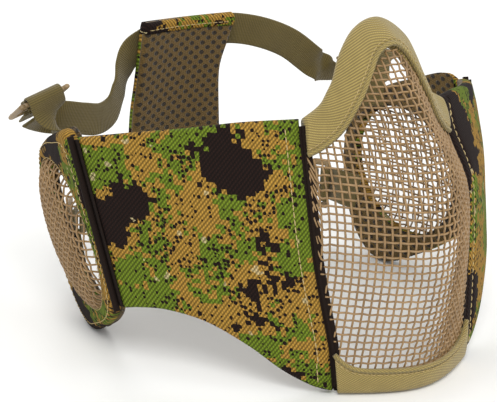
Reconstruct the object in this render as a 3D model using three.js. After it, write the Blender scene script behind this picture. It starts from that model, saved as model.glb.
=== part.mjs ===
// Half face mask for field use: a woven wire front, padded camouflage side panels, oval ear cups
// with domed wire guards, and elastic straps with ladder-lock buckles running to a nape pad.
// Millimetres, +Z up, +X to the wearer's left, and the face looks along -Y. The mask stands on
// its chin and on the lower lobes of its ear cups, at Z = 0.
import * as THREE from 'three';

// ---------- driving dimensions ----------
const CENTRE_Y = -4.8; // shifts the whole mask so that its box is centred on the origin in Y
const GAP = 0.4; // clearance between layers that touch

const WIRE = 1.2; // thickness of the woven wire panels
const TAPE = 1.8; // knitted binding tape
const CLOTH = 1.4; // camouflage cover
const FOAM = 3;
const AIR_MESH = 1.6; // spacer fabric next to the skin

// Facets of each curved piece
const COLUMNS = 24; // across the front
const WIRE_ROWS = 20;
const NOSE_ROWS = 5;
const CHIN_ROWS = 3;
const SIDE_FACETS = [8, 6];
const PAD_FACETS = [8, 10];
const RIM = 36; // round an ear cup
const DOME_ROWS = 6;
const STRAP_STEPS = 14;
const LOOP_STEPS = 8;

const CHIN_BAND = 19.5; // height of the chin binding at the seams
const CHIN_BAND_MIDDLE = 11;
const CHIN_BAND_FLARE = 10; // how sharply the band rises towards the seams
const WIRE_LOW = 2; // lower edge of the wire, inside the chin binding
const WIRE_TUCK = 0.7; // share of the nose binding's width that the wire runs under
const SEAM_CLEAR = 0.03; // each front piece stops this share of the half width short of the seam
const SIDE_CLEAR = 0.012; // and each side piece this share of its length
const LAYER_STEP = 0.025; // the inner layers of a side stop this share further back

// Seam between the wire front and a side panel, [height, half width, forward position]
const SEAM = [
  [0, 36, -75], [20, 38, -73], [40, 41, -69], [60, 43.5, -65], [80, 44, -60], [100, 40, -49],
  [115, 39, -44], [155, 36, -32],
];
// Forward position of the front's ridge line, [height, y]
const RIDGE = [
  [0, -88], [20, -91.5], [40, -95], [60, -96.5], [80, -94], [100, -86.5], [120, -73], [144, -52],
];
const RIDGE_ROUND = 0.6; // roundness of the ridge, as a share of the half width
// Lower and upper edge of the nose binding, left half, from the ridge to the seam
const NOSE_LOWER = [
  [0, -52, 144], [6, -52, 141], [11, -54, 134], [18, -56, 122], [26, -55, 110], [34, -52, 103],
  [40, -49, 100],
];
const NOSE_UPPER = [
  [0, -38, 153], [9, -38, 150], [16, -40, 144], [20, -41, 136], [24, -43, 128], [29, -43, 120],
  [39, -44, 115],
];

const CREASE_LOW = [105, -9, 29];
const CREASE_HIGH = [114, 17, 100];
const SIDE_BULGE = 6; // outward bow of a side panel
// Lower and upper edge of a side panel, [share of the way from seam to crease, height]
const SIDE_LOWER = [
  [0, 0.3], [0.1, 2.5], [0.25, 10], [0.4, 20.5], [0.57, 29], [0.75, 32], [0.9, 31], [1, 29],
];
const SIDE_UPPER = [[0, 115], [0.25, 113], [0.5, 109], [0.75, 105], [1, 100]];

const EAR_TURN = THREE.MathUtils.degToRad(12); // inward turn of an ear cup from the Y axis
// Ear cup outline, [distance behind the crease, height]
const EAR_OUTLINE = [
  [2.5, 62], [2.5, 36], [8, 26], [20, 17], [40, 6.5], [55, 0.2], [67, 2], [77, 15],
  [80.5, 40], [76, 62], [64, 78], [46, 88], [30, 94], [8, 100.5], [2.5, 96],
];
const WINDOW = { s: 41, z: 48, rs: 32, rz: 31 }; // oval opening of an ear cup
const DOME = 8.5; // how far the ear guard stands out
const DOME_FULLNESS = { in: 0.8, out: 0.9 }; // 1 and 1 would be a quarter of an ellipse
const FLANGE = 4.5; // rim of the guard that is sewn between cover and foam

const STRAP_W = 16;
const STRAP_T = 1.2;
const TAB_W = 18;
const TAB_INSIDE = -7; // a tab lies this far inside the ear cup's face, on its lining
// Ladder-lock buckle: three bars of this width across two slots, between two rails
const BUCKLE = { width: 27, thick: 2.4, bar: 2.6, rail: 3.2, slot: 5.2, round: 2 };
const BUCKLE_TILT = THREE.MathUtils.degToRad(17); // an upper buckle's bars slope down outwards
const BUCKLE_DIP = THREE.MathUtils.degToRad(32); // and it hangs down towards the back
const BUCKLE_TURN = THREE.MathUtils.degToRad(38); // a lower buckle turns in towards the nape
const TAB_LOOP = 2.7; // radius of a tab's loop round the buckle's front bar
const TAB_SWEEP = 270; // degrees
const TAB_RISE = 0.3; // share of the way from the tab's foot to its loop where it leaves the cup
const TAB_TWIST = 1.4; // path points over which the tab turns in line with the bar
const STRAP_LOOP = 2.8; // radius of the strap's turn over the middle bar
const STRAP_SAG = 0.2; // extra clearance of the strap under the rear bar
const STRAP_RUN = [21.5, 16, 12]; // distances from the pivot of the threaded end's first points
const STRAP_TAIL = 0.5; // how far the free tail hangs under that run
const STRAP_LEAN = [0.3, 0.3, 1]; // width direction of an upper strap where it leaves the buckle

// Right and left side edge of the nape pad, [height, right, left]
const PAD_EDGES = [
  [24, -28, 21], [28, -30, 23], [50, -31, 22], [75, -31, 20], [92, -29, 19], [101, -28, 20],
  [112, -27, 24], [121, -26, 27], [124, -25, 26],
];
const PAD_Y = 97;
const PAD_BOW = 3; // rearward bow of the pad's middle
const PAD_FOAM = 2.4;

const COLOURS = {
  wire: [0xa88a62, 0.55, 0.35],
  tape: [0xa8924a, 0.9, 0],
  camo: [0x6f7a2c, 0.85, 0],
  foam: [0x2b2a26, 0.95, 0],
  lining: [0x5a4415, 0.95, 0],
  webbing: [0x6f6220, 0.8, 0],
  plastic: [0x8a7050, 0.45, 0],
};

// ---------- helpers ----------
const { lerp, clamp } = THREE.MathUtils;
const V = (x, y, z) => new THREE.Vector3(x, y, z);

function table(rows, column, at) {
  const curve = new THREE.SplineCurve(rows.map((r) => new THREE.Vector2(r[0], r[column])));
  let low = 0;
  let high = 1;
  for (let i = 0; i < 30; i += 1) {
    const mid = (low + high) / 2;
    if (curve.getPoint(mid).x < at) low = mid;
    else high = mid;
  }
  return curve.getPoint(low).y;
}

const material = (kind) => {
  const [color, roughness, metalness] = COLOURS[kind];
  return new THREE.MeshStandardMaterial({ color, roughness, metalness });
};

const mask = new THREE.Group();
mask.position.y = CENTRE_Y;

function add(name, kind, geometry) {
  const mesh = new THREE.Mesh(geometry, material(kind));
  mesh.name = name;
  mask.add(mesh);
}

// A strip of webbing along a path; across(t) is its width direction at share t of the path.
function webbing(path, across, width, thick) {
  const last = path.length - 1;
  const points = path.flatMap((point, i) => {
    const along = path[Math.min(i + 1, last)].clone().sub(path[Math.max(i - 1, 0)]).normalize();
    const wide = across(i / last).clone().addScaledVector(along, -across(i / last).dot(along));
    wide.normalize();
    const face = along.cross(wide).normalize().multiplyScalar(thick / 2);
    const edge = wide.multiplyScalar(width / 2);
    return [[1, 1], [-1, 1], [-1, -1], [1, -1]].map(([e, f]) => (
      point.clone().addScaledVector(edge, e).addScaledVector(face, f)));
  });
  const index = [];
  const quad = (a, b, c, d) => index.push(a, b, c, a, c, d);
  for (let i = 0; i < last; i += 1) {
    for (let j = 0; j < 4; j += 1) {
      const k = (j + 1) % 4;
      quad(4 * i + j, 4 * i + k, 4 * i + 4 + k, 4 * i + 4 + j);
    }
  }
  quad(3, 2, 1, 0);
  quad(4 * last, 4 * last + 1, 4 * last + 2, 4 * last + 3);
  return outward(points.flatMap((p) => [p.x, p.y, p.z]), index);
}

// Makes a geometry whose faces point out, whichever way its faces were wound.
function outward(positions, index) {
  let volume = 0;
  const p = (i) => V(positions[3 * i], positions[3 * i + 1], positions[3 * i + 2]);
  for (let i = 0; i < index.length; i += 3) {
    volume += p(index[i]).dot(p(index[i + 1]).cross(p(index[i + 2])));
  }
  if (volume < 0) {
    for (let i = 0; i < index.length; i += 3) {
      [index[i], index[i + 1]] = [index[i + 1], index[i]];
    }
  }
  const geometry = new THREE.BufferGeometry();
  geometry.setAttribute('position', new THREE.Float32BufferAttribute(positions, 3));
  geometry.setIndex(index);
  geometry.computeVertexNormals();
  return geometry;
}

// A slab over surface(a, b), with a and b from 0 to 1, between two offsets along its normal.
// With a base, its first row is cut level at that height.
function slab(surface, inner, outer, columns, rows, base = null) {
  const step = 1e-3;
  const sheet = (offset) => {
    const points = [];
    for (let i = 0; i <= columns; i += 1) {
      for (let j = 0; j <= rows; j += 1) {
        const a = clamp(i / columns, step, 1 - step);
        const b = clamp(j / rows, step, 1 - step);
        const da = surface(a + step, b).sub(surface(a - step, b));
        const db = surface(a, b + step).sub(surface(a, b - step));
        const normal = da.cross(db).normalize();
        const point = surface(i / columns, j / rows).addScaledVector(normal, offset);
        if (base !== null && j === 0) point.z = base;
        points.push(point);
      }
    }
    return points;
  };
  const points = [...sheet(outer), ...sheet(inner)];
  const half = (columns + 1) * (rows + 1);
  const at = (i, j, k) => k * half + i * (rows + 1) + j;
  const index = [];
  const quad = (a, b, c, d) => index.push(a, b, c, a, c, d);
  for (let i = 0; i < columns; i += 1) {
    for (let j = 0; j < rows; j += 1) {
      quad(at(i, j, 0), at(i + 1, j, 0), at(i + 1, j + 1, 0), at(i, j + 1, 0));
      quad(at(i, j, 1), at(i, j + 1, 1), at(i + 1, j + 1, 1), at(i + 1, j, 1));
    }
    quad(at(i, 0, 0), at(i, 0, 1), at(i + 1, 0, 1), at(i + 1, 0, 0));
    quad(at(i, rows, 0), at(i + 1, rows, 0), at(i + 1, rows, 1), at(i, rows, 1));
  }
  for (let j = 0; j < rows; j += 1) {
    quad(at(0, j, 0), at(0, j + 1, 0), at(0, j + 1, 1), at(0, j, 1));
    quad(at(columns, j, 0), at(columns, j, 1), at(columns, j + 1, 1), at(columns, j + 1, 0));
  }
  return outward(points.flatMap((q) => [q.x, q.y, q.z]), index);
}

// A ring-shaped body: each section is a closed loop of points, and the last joins the first.
function hoop(sections) {
  const n = sections[0].length;
  const count = sections.length;
  const index = [];
  for (let i = 0; i < count; i += 1) {
    for (let j = 0; j < n; j += 1) {
      const a = i * n + j;
      const b = i * n + ((j + 1) % n);
      const c = ((i + 1) % count) * n + j;
      const d = ((i + 1) % count) * n + ((j + 1) % n);
      index.push(a, b, d, a, d, c);
    }
  }
  return outward(sections.flat().flatMap((p) => [p.x, p.y, p.z]), index);
}

// A domed shell: rows of rim points closed by an apex, outside and inside.
function cap(outer, outerApex, inner, innerApex) {
  const n = outer[0].length;
  const rows = outer.length;
  const points = [...outer.flat(), ...inner.flat(), outerApex, innerApex];
  const at = (layer, i, j) => (layer * rows + i) * n + (j % n);
  const apex = (layer) => 2 * rows * n + layer;
  const index = [];
  for (let j = 0; j < n; j += 1) {
    for (let i = 0; i + 1 < rows; i += 1) {
      const quads = [
        [at(0, i, j), at(0, i, j + 1), at(0, i + 1, j + 1), at(0, i + 1, j)],
        [at(1, i, j), at(1, i + 1, j), at(1, i + 1, j + 1), at(1, i, j + 1)],
      ];
      for (const [a, b, c, d] of quads) index.push(a, b, c, a, c, d);
    }
    index.push(at(0, rows - 1, j), at(0, rows - 1, j + 1), apex(0));
    index.push(at(1, rows - 1, j + 1), at(1, rows - 1, j), apex(1));
    index.push(at(0, 0, j), at(1, 0, j), at(1, 0, j + 1), at(0, 0, j), at(1, 0, j + 1), at(0, 0, j + 1));
  }
  return outward(points.flatMap((p) => [p.x, p.y, p.z]), index);
}

// ---------- wire front and its bindings ----------
// u runs from -1 at the right seam to 1 at the left seam
const mirror = (rows) => [...rows.slice(1).reverse().map(([x, y, z]) => [-x, y, z]), ...rows];
const spline = (rows) => new THREE.CatmullRomCurve3(rows.map((row) => V(...row)));
const noseLowerCurve = spline(mirror(NOSE_LOWER));
const noseUpperCurve = spline(mirror(NOSE_UPPER));
const noseLower = (u) => noseLowerCurve.getPointAt((u + 1) / 2);
const noseUpper = (u) => noseUpperCurve.getPointAt((u + 1) / 2);

// Above the seam tip the wire ends at the nose binding instead of at the seam
const tip = NOSE_LOWER.at(-1)[2];
const noseRows = NOSE_LOWER.map(([x, y, z]) => [z, x, y]).reverse();
const edgeX = (z) => (z < tip ? table(SEAM, 1, z) : Math.max(table(noseRows, 1, z), 0.5));
const edgeY = (z) => (z < tip ? table(SEAM, 2, z) : table(noseRows, 2, z));

function frontDepth(x, z) {
  const u = clamp(x / edgeX(z), -1, 1);
  const k = RIDGE_ROUND;
  const end = Math.sqrt(1 + k * k);
  const forward = (end - Math.sqrt(u * u + k * k)) / (end - k);
  return lerp(edgeY(z), table(RIDGE, 1, z), forward);
}

// v runs from the chin up to the nose binding at 1, and on under the binding
function wirePoint(u, v) {
  const top = noseLower(u);
  if (v > 1) return top.lerp(noseUpper(u), v - 1);
  const z = lerp(0, top.z, v);
  const share = lerp(u, top.x / NOSE_LOWER.at(-1)[0], v);
  const x = share * Math.max(table(SEAM, 1, Math.min(z, tip)), 0);
  return V(x, z < top.z ? frontDepth(x, z) : top.y, z);
}

const across = (a) => lerp(-1, 1, a) * (1 - SEAM_CLEAR);
const wire = (a, b) => {
  const u = across(a);
  const low = WIRE_LOW / noseLower(u).z;
  return wirePoint(u, lerp(low, 1 + WIRE_TUCK, b));
};
const noseBand = (a, b) => noseLower(across(a)).lerp(noseUpper(across(a)), b);
const chinTop = (u) => lerp(CHIN_BAND_MIDDLE, CHIN_BAND, Math.abs(u) ** CHIN_BAND_FLARE);
const chinBand = (a, b) => {
  const z = b * chinTop(across(a));
  return wirePoint(across(a), z / noseLower(across(a)).z);
};

const skin = WIRE / 2 + GAP;
add('face_mesh', 'wire', slab(wire, -WIRE / 2, WIRE / 2, COLUMNS, WIRE_ROWS));
add('nose_binding', 'tape', slab(noseBand, skin, skin + TAPE, COLUMNS, NOSE_ROWS));
add('nose_pad', 'tape', slab(noseBand, -skin - TAPE, -skin, COLUMNS, NOSE_ROWS));
add('chin_binding', 'tape', slab(chinBand, skin, skin + TAPE, COLUMNS, CHIN_ROWS, 0));
add('chin_pad', 'tape', slab(chinBand, -skin - TAPE, -skin, COLUMNS, CHIN_ROWS, 0));

// ---------- side panels and ear cups ----------
const creaseLow = V(...CREASE_LOW);
const creaseHigh = V(...CREASE_HIGH);
const creasePoint = (z) => {
  const share = (z - creaseLow.z) / (creaseHigh.z - creaseLow.z);
  return creaseLow.clone().lerp(creaseHigh, share);
};
const seamPoint = (z) => V(table(SEAM, 1, z), table(SEAM, 2, z), z);
const creaseLine = creaseHigh.clone().sub(creaseLow).normalize();
const earBack = V(-Math.sin(EAR_TURN), Math.cos(EAR_TURN), 0);
const earOut = earBack.clone().cross(creaseLine).normalize();
const mirrored = (side, point) => V(side * point.x, point.y, point.z);

function sidePanel(side, front, back) {
  return (a, b) => {
    const t = lerp(front, 1 - back, a);
    const z = lerp(table(SIDE_LOWER, 1, t), table(SIDE_UPPER, 1, t), b);
    const seam = seamPoint(z);
    const crease = creasePoint(z);
    const out = V(crease.y - seam.y, seam.x - crease.x, 0).normalize();
    const point = seam.lerp(crease, t).addScaledVector(out, SIDE_BULGE * 4 * t * (1 - t));
    return mirrored(side, point);
  };
}

// A point of an ear cup, s behind the crease and out from its face, never below the ground
const earPoint = (side, s, z, out) => {
  const point = creasePoint(z).addScaledVector(earBack, s).addScaledVector(earOut, out);
  point.z = Math.max(point.z, 0);
  return mirrored(side, point);
};

// Closed outlines of an ear cup, as [s, z] points at equal steps round it
const outlineCurve = new THREE.CatmullRomCurve3(EAR_OUTLINE.map(([s, z]) => V(s, z, 0)), true);
const outline = outlineCurve.getSpacedPoints(RIM).slice(0, RIM).map((p) => [p.x, p.y]);
function ovalFacing(points, grow) {
  return points.map(([s, z]) => {
    const angle = Math.atan2((z - WINDOW.z) / WINDOW.rz, (s - WINDOW.s) / WINDOW.rs);
    return [
      WINDOW.s + (WINDOW.rs + grow) * Math.cos(angle),
      WINDOW.z + (WINDOW.rz + grow) * Math.sin(angle),
    ];
  });
}

// A flat ring between two outlines, closed on itself
function ring(side, outer, inner, low, high) {
  const section = outer.map(([s, z], i) => [
    earPoint(side, s, z, high), earPoint(side, ...inner[i], high),
    earPoint(side, ...inner[i], low), earPoint(side, s, z, low),
  ]);
  return hoop(section);
}

function dome(side, low, high) {
  const rim = ovalFacing(outline, 0);
  const profile = [[1 + FLANGE / WINDOW.rs, 0]];
  for (let i = 0; i < DOME_ROWS; i += 1) {
    const angle = (i / DOME_ROWS) * (Math.PI / 2);
    const rise = DOME * Math.sin(angle) ** DOME_FULLNESS.out;
    profile.push([Math.cos(angle) ** DOME_FULLNESS.in, rise]);
  }
  const shell = (offset) => profile.map(([share, rise]) => rim.map(([s, z]) => earPoint(
    side,
    WINDOW.s + (s - WINDOW.s) * share,
    WINDOW.z + (z - WINDOW.z) * share,
    rise + offset,
  )));
  return cap(shell(high), earPoint(side, WINDOW.s, WINDOW.z, DOME + high),
    shell(low), earPoint(side, WINDOW.s, WINDOW.z, DOME + low));
}

const SIDES = [['right', -1], ['left', 1]];
for (const [word, side] of SIDES) {
  const deep = -2 * GAP - FOAM;
  const layers = [
    ['cover', 'camo', SIDE_CLEAR, 0, CLOTH],
    ['foam', 'foam', SIDE_CLEAR + LAYER_STEP, -GAP - FOAM, -GAP],
    ['lining', 'lining', SIDE_CLEAR + LAYER_STEP, deep - AIR_MESH, deep],
  ];
  for (const [layer, kind, clear, low, high] of layers) {
    // the panel's own normal points out on the left and in on the right
    const [inner, outer] = side > 0 ? [-high, -low] : [low, high];
    add(`side_${layer}_${word}`, kind, slab(sidePanel(side, clear, clear), inner, outer, ...SIDE_FACETS));
  }
  const top = WIRE + GAP;
  const hole = ovalFacing(outline, 0);
  add(`ear_cover_${word}`, 'camo', ring(side, outline, hole, top, top + CLOTH));
  add(`ear_mesh_${word}`, 'wire', dome(side, 0, WIRE));
  add(`ear_foam_${word}`, 'foam', ring(side, outline, hole, -GAP - FOAM, -GAP));
  add(`ear_lining_${word}`, 'lining', ring(side, outline, hole, deep - AIR_MESH, deep));
}

// ---------- nape pad ----------
function padFace(a, b) {
  const z = lerp(PAD_EDGES[0][0], PAD_EDGES.at(-1)[0], b);
  const x = lerp(table(PAD_EDGES, 1, z), table(PAD_EDGES, 2, z), a);
  return V(x, PAD_Y + PAD_BOW * 4 * a * (1 - a), z);
}
// offsets run from the skin side back
const padLayers = [['lining', 'lining', AIR_MESH], ['foam', 'foam', PAD_FOAM], ['cover', 'camo', CLOTH]];
let depth = 0;
for (const [layer, kind, thick] of padLayers) {
  add(`pad_${layer}`, kind, slab(padFace, -depth - thick, -depth, ...PAD_FACETS));
  depth += thick + GAP;
}

// ---------- tabs, buckles and straps ----------
// Each corner: the tab's two points on the ear cup and the pivot on the buckle's front bar, then
// the bar's direction, the run from front to rear bar, and the strap's route to the pad
const EAR_UPPER = { tab: [[58, 75], [57, 88]], pivot: [99, 69, 103] };
const EAR_LOWER = { tab: [[70, 30], [82.5, 30]], pivot: [80, 80.5, 30] };
const UPPER_BAR = [Math.cos(BUCKLE_TILT), 0, -Math.sin(BUCKLE_TILT)];
const UPPER_RUN = [
  -Math.sin(BUCKLE_TILT) * Math.sin(BUCKLE_DIP),
  Math.cos(BUCKLE_DIP),
  -Math.cos(BUCKLE_TILT) * Math.sin(BUCKLE_DIP),
];
const LOWER_BAR = [0, 0, 1];
const LOWER_RUN = [-Math.sin(BUCKLE_TURN), Math.cos(BUCKLE_TURN), 0];
const STRAP_Y = PAD_Y + depth + STRAP_T / 2;
const ROUTES = {
  upper_right: [
    [-85, 91, 85.8], [-76, 91, 85], [-65, 92, 82.5], [-54, 94, 80.5], [-45.5, 97, 83],
    [-39.5, 100.5, 91], [-35, 103.5, 101], [-30, STRAP_Y + 0.8, 108], [-20, STRAP_Y + 1.5, 113],
  ],
  upper_left: [
    [84, 92, 90], [75, 92, 95.5], [61, 96, 106], [45, 100, 112.5], [31, STRAP_Y, 115],
    [22, STRAP_Y + 1, 115],
  ],
  lower_right: [
    [-56.5, 97.5, 30.3], [-50, 100, 31.5], [-43, 102, 33], [-35, STRAP_Y + 0.3, 34.5],
    [-26, STRAP_Y + 1.5, 35],
  ],
  lower_left: [
    [58, 96.5, 30.3], [51, 98.8, 31.2], [40, 101, 33], [28, STRAP_Y + 0.3, 34.5],
    [18, STRAP_Y + 1.5, 35],
  ],
};

function buckle() {
  const { width, thick, bar, rail, slot, round } = BUCKLE;
  const length = 3 * bar + 2 * slot;
  const plate = new THREE.Shape();
  const x = width / 2;
  const y = length - bar / 2;
  plate.moveTo(-x + round, -bar / 2);
  plate.lineTo(x - round, -bar / 2);
  plate.quadraticCurveTo(x, -bar / 2, x, -bar / 2 + round);
  plate.lineTo(x, y - round);
  plate.quadraticCurveTo(x, y, x - round, y);
  plate.lineTo(-x + round, y);
  plate.quadraticCurveTo(-x, y, -x, y - round);
  plate.lineTo(-x, -bar / 2 + round);
  plate.quadraticCurveTo(-x, -bar / 2, -x + round, -bar / 2);
  for (const low of [bar / 2, bar * 1.5 + slot]) {
    const hole = new THREE.Path();
    hole.moveTo(-x + rail, low);
    hole.lineTo(-x + rail, low + slot);
    hole.lineTo(x - rail, low + slot);
    hole.lineTo(x - rail, low);
    hole.closePath();
    plate.holes.push(hole);
  }
  const solid = new THREE.ExtrudeGeometry(plate, { depth: thick, bevelEnabled: false, curveSegments: 3 });
  return solid.translate(0, 0, -thick / 2);
}

// Points of an arc in the buckle's own [run, rise] plane, from one angle to another in degrees
function arc(middle, radius, from, to, steps) {
  return Array.from({ length: steps + 1 }, (_, i) => {
    const angle = THREE.MathUtils.degToRad(lerp(from, to, i / steps));
    return [middle + radius * Math.cos(angle), radius * Math.sin(angle)];
  });
}

for (const [word, side] of SIDES) {
  for (const [level, ear, barRow, runRow] of [
    ['upper', EAR_UPPER, UPPER_BAR, UPPER_RUN], ['lower', EAR_LOWER, LOWER_BAR, LOWER_RUN],
  ]) {
    const corner = `${level}_${word}`;
    const pivot = mirrored(side, V(...ear.pivot));
    const run = mirrored(side, V(...runRow)).normalize();
    const bar = mirrored(side, V(...barRow)).normalize();
    // the side of the plate that the strap turns over: up on an upper buckle, out on a lower one
    const rise = bar.clone().cross(run).normalize();
    const outer = level === 'upper' ? rise.z : side * rise.x;
    if (outer < 0) rise.negate();
    const inPlane = ([r, h]) => pivot.clone().addScaledVector(run, r).addScaledVector(rise, h);

    const placed = buckle();
    const handed = bar.clone().cross(run).dot(rise) > 0 ? bar : bar.clone().negate();
    placed.applyMatrix4(new THREE.Matrix4().makeBasis(handed, run, rise).setPosition(pivot));
    add(`buckle_${corner}`, 'plastic', placed);

    // tab: up the ear cup's lining, then once round the front bar
    const foot = ear.tab.map(([s, z]) => earPoint(side, s, z, TAB_INSIDE));
    const back = foot[1].clone().sub(pivot);
    const aim = Math.atan2(back.dot(rise), back.dot(run)) + 2 * Math.PI;
    const meets = THREE.MathUtils.radToDeg(aim + Math.asin(TAB_LOOP / back.length())) - 90;
    const loop = arc(0, TAB_LOOP, meets, meets - TAB_SWEEP, LOOP_STEPS).map(inPlane);
    const near = foot[1].clone().lerp(loop[0], TAB_RISE);
    const path = [...foot, near, ...loop];
    const flat = mirrored(side, level === 'upper' ? earBack : creaseLine);
    const turned = flat.dot(bar) < 0 ? bar.clone().negate() : bar;
    const tabWide = (t) => {
      const turn = (t * (path.length - 1) - 1) / TAB_TWIST;
      return flat.clone().lerp(turned, clamp(turn, 0, 1));
    };
    add(`tab_${corner}`, 'webbing', webbing(path, tabWide, TAB_W, STRAP_T));

    // threaded end of the strap: under the rear bar, over the middle bar, and down as a free tail
    const middle = BUCKLE.bar + BUCKLE.slot;
    const under = -BUCKLE.thick / 2 - GAP - STRAP_T / 2 - STRAP_SAG;
    const [far, bend, rear] = STRAP_RUN;
    const end = [
      [far, under - 2 * STRAP_SAG], [bend, under], [rear, under + STRAP_SAG],
      ...arc(middle, STRAP_LOOP, 0, 180, LOOP_STEPS - 2), [middle - STRAP_LOOP, under - STRAP_TAIL],
    ];
    add(`strap_end_${corner}`, 'webbing', webbing(end.map(inPlane), () => bar, STRAP_W, STRAP_T));

    const route = new THREE.CatmullRomCurve3(ROUTES[corner].map((row) => V(...row)));
    const upright = V(0, 0, 1);
    const start = level === 'upper' ? mirrored(side, V(...STRAP_LEAN)).normalize() : upright;
    const strapWide = (t) => start.clone().lerp(upright, clamp(t * 2, 0, 1));
    const points = route.getSpacedPoints(STRAP_STEPS);
    add(`strap_${corner}`, 'webbing', webbing(points, strapWide, STRAP_W, STRAP_T));
  }
}

export default mask;
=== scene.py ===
"""Camouflage face mask: woven wire front, padded side panels, domed ear guards, elastic straps.

All shapes are written in millimetres in the mask's own frame, then scaled and shifted once when
they become meshes. The mask faces -Y and its left side is +X.
"""
import math

import bmesh
import bpy
import numpy as np
from mathutils import Matrix, Vector


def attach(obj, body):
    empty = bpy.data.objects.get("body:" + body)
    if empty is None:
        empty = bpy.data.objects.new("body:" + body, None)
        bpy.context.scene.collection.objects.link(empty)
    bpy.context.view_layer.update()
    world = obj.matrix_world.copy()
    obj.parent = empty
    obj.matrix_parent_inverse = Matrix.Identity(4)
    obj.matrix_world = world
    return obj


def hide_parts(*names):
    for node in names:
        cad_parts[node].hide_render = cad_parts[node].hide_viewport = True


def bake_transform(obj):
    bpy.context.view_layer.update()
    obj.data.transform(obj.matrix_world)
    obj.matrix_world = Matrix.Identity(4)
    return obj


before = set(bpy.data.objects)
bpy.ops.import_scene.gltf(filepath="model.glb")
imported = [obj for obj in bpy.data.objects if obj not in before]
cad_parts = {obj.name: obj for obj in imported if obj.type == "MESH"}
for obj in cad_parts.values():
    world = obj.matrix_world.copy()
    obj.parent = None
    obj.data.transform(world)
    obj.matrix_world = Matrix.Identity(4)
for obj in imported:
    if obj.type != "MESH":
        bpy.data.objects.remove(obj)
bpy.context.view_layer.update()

# ---------- dimensions, in millimetres ----------
MM = 0.001
CENTRE_Y = -4.8  # shifts the whole mask so that its box is centred in Y
GAP = 0.4
SKIN = 1.0  # from the middle of the wire to the tape beside it
TAPE = 1.8
CLOTH = 1.4
LINING_TOP = -3.6  # the side and ear linings start this far inside the face of the cover
LINING_LOW = -5.4
LINING_FRONT = 5  # an ear lining stops this far behind the crease, so that the cup can tilt
CHIN_BAND = 19.5
CHIN_BAND_MIDDLE = 11
WIRE_PITCH = 3.3
WIRE_RADIUS = 0.47
WIRE_WAVE = 0.38  # how far a wire rises over and dips under the ones it crosses
WIRE_LOW = 3
WIRE_COLUMNS, WIRE_ROWS = 26, 84  # wires each side of the ridge, and rows up the front
WIRE_MIDDLE = 60  # height that the rows are counted from
EAR_WIRES = 21

# Seam between the wire front and a side panel, [height, half width, forward position]
SEAM = [
    [0, 36, -75], [20, 38, -73], [40, 41, -69], [60, 43.5, -65], [80, 44, -60], [100, 40, -49],
    [115, 39, -44], [155, 36, -32],
]
# Forward position of the ridge line, [height, y]
RIDGE = [
    [0, -88], [20, -91.5], [40, -95], [60, -96.5], [80, -94], [100, -86.5], [120, -73], [144, -52],
]
RIDGE_ROUND = 0.6  # roundness of the ridge, as a share of the half width
# Lower and upper edge of the nose binding, left half, from the ridge to the seam
NOSE_LOWER = [
    [0, -52, 144], [6, -52, 141], [11, -54, 134], [18, -56, 122], [26, -55, 110], [34, -52, 103],
    [40, -49, 100],
]
NOSE_UPPER = [
    [0, -38, 153], [9, -38, 150], [16, -40, 144], [20, -41, 136], [24, -43, 128], [29, -43, 120],
    [39, -44, 115],
]
CREASE_LOW = np.array([105, -9, 29.0])
CREASE_HIGH = np.array([114, 17, 100.0])
SIDE_BULGE = 6
SEAM_TAPE, CREASE_TAPE, TAPE_THICK = 6, 8, 0.8  # widths and thickness of the hidden near-black tapes, painted shade in the seam and crease gaps
SEAM_STITCH = 6.5  # distance of a side panel's stitches behind its front edge
# Lower and upper edge of a side panel, [share of the way from seam to crease, height]
SIDE_LOWER = [
    [0, 0.3], [0.1, 2.5], [0.25, 10], [0.4, 20.5], [0.57, 29], [0.75, 32], [0.9, 31], [1, 29],
]
SIDE_UPPER = [[0, 115], [0.25, 113], [0.5, 109], [0.75, 105], [1, 100]]
EAR_TURN = math.radians(12)
# Ear cup outline, [distance behind the crease, height]
EAR_OUTLINE = [
    [2.5, 62], [2.5, 36], [8, 26], [20, 17], [40, 6.5], [55, 0.2], [67, 2], [77, 15],
    [80.5, 40], [76, 62], [64, 78], [46, 88], [30, 94], [8, 100.5], [2.5, 96],
]
WINDOW_S, WINDOW_Z, WINDOW_RS, WINDOW_RZ = 41, 48, 32, 31
DOME = 8.5
STRAP_W = 16
STRAP_T = 1.2
TAB_W = 18
TAB_INSIDE = -7
BUCKLE_W, BUCKLE_T, BUCKLE_BAR, BUCKLE_RAIL, BUCKLE_SLOT = 27, 2.4, 2.6, 3.2, 5.2
TAB_LOOP = 2.7
TAB_SWEEP = 270
STRAP_LOOP = 2.8
# Right and left side edge of the nape pad, [height, right, left]
PAD_EDGES = [
    [24, -28, 21], [28, -30, 23], [50, -31, 22], [75, -31, 20], [92, -29, 19], [101, -28, 20],
    [112, -27, 24], [121, -26, 27], [124, -25, 26],
]
PAD_Y = 97
PAD_BOW = 3
PAD_DEEP = 6.2
SIDES = (("right", -1), ("left", 1))


# ---------- curves and tables ----------
def table(rows, column):
    """A smooth function through the rows, from their first value to the one in column."""
    points = np.array([[row[0], row[column]] for row in rows], float)
    n = len(points)
    knots = np.linspace(0, n - 1, 60 * n)
    low = np.minimum(knots.astype(int), n - 2)
    w = (knots - low)[:, None]
    p1, p2 = points[low], points[low + 1]
    p0, p3 = points[np.maximum(low - 1, 0)], points[np.minimum(low + 2, n - 1)]
    v0, v1 = (p2 - p0) / 2, (p3 - p1) / 2
    curve = ((2 * p1 - 2 * p2 + v0 + v1) * w**3 + (-3 * p1 + 3 * p2 - 2 * v0 - v1) * w**2 + v0 * w + p1)
    order = np.argsort(curve[:, 0])
    xs, ys = curve[order, 0], curve[order, 1]
    return lambda at: np.interp(at, xs, ys)


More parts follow.
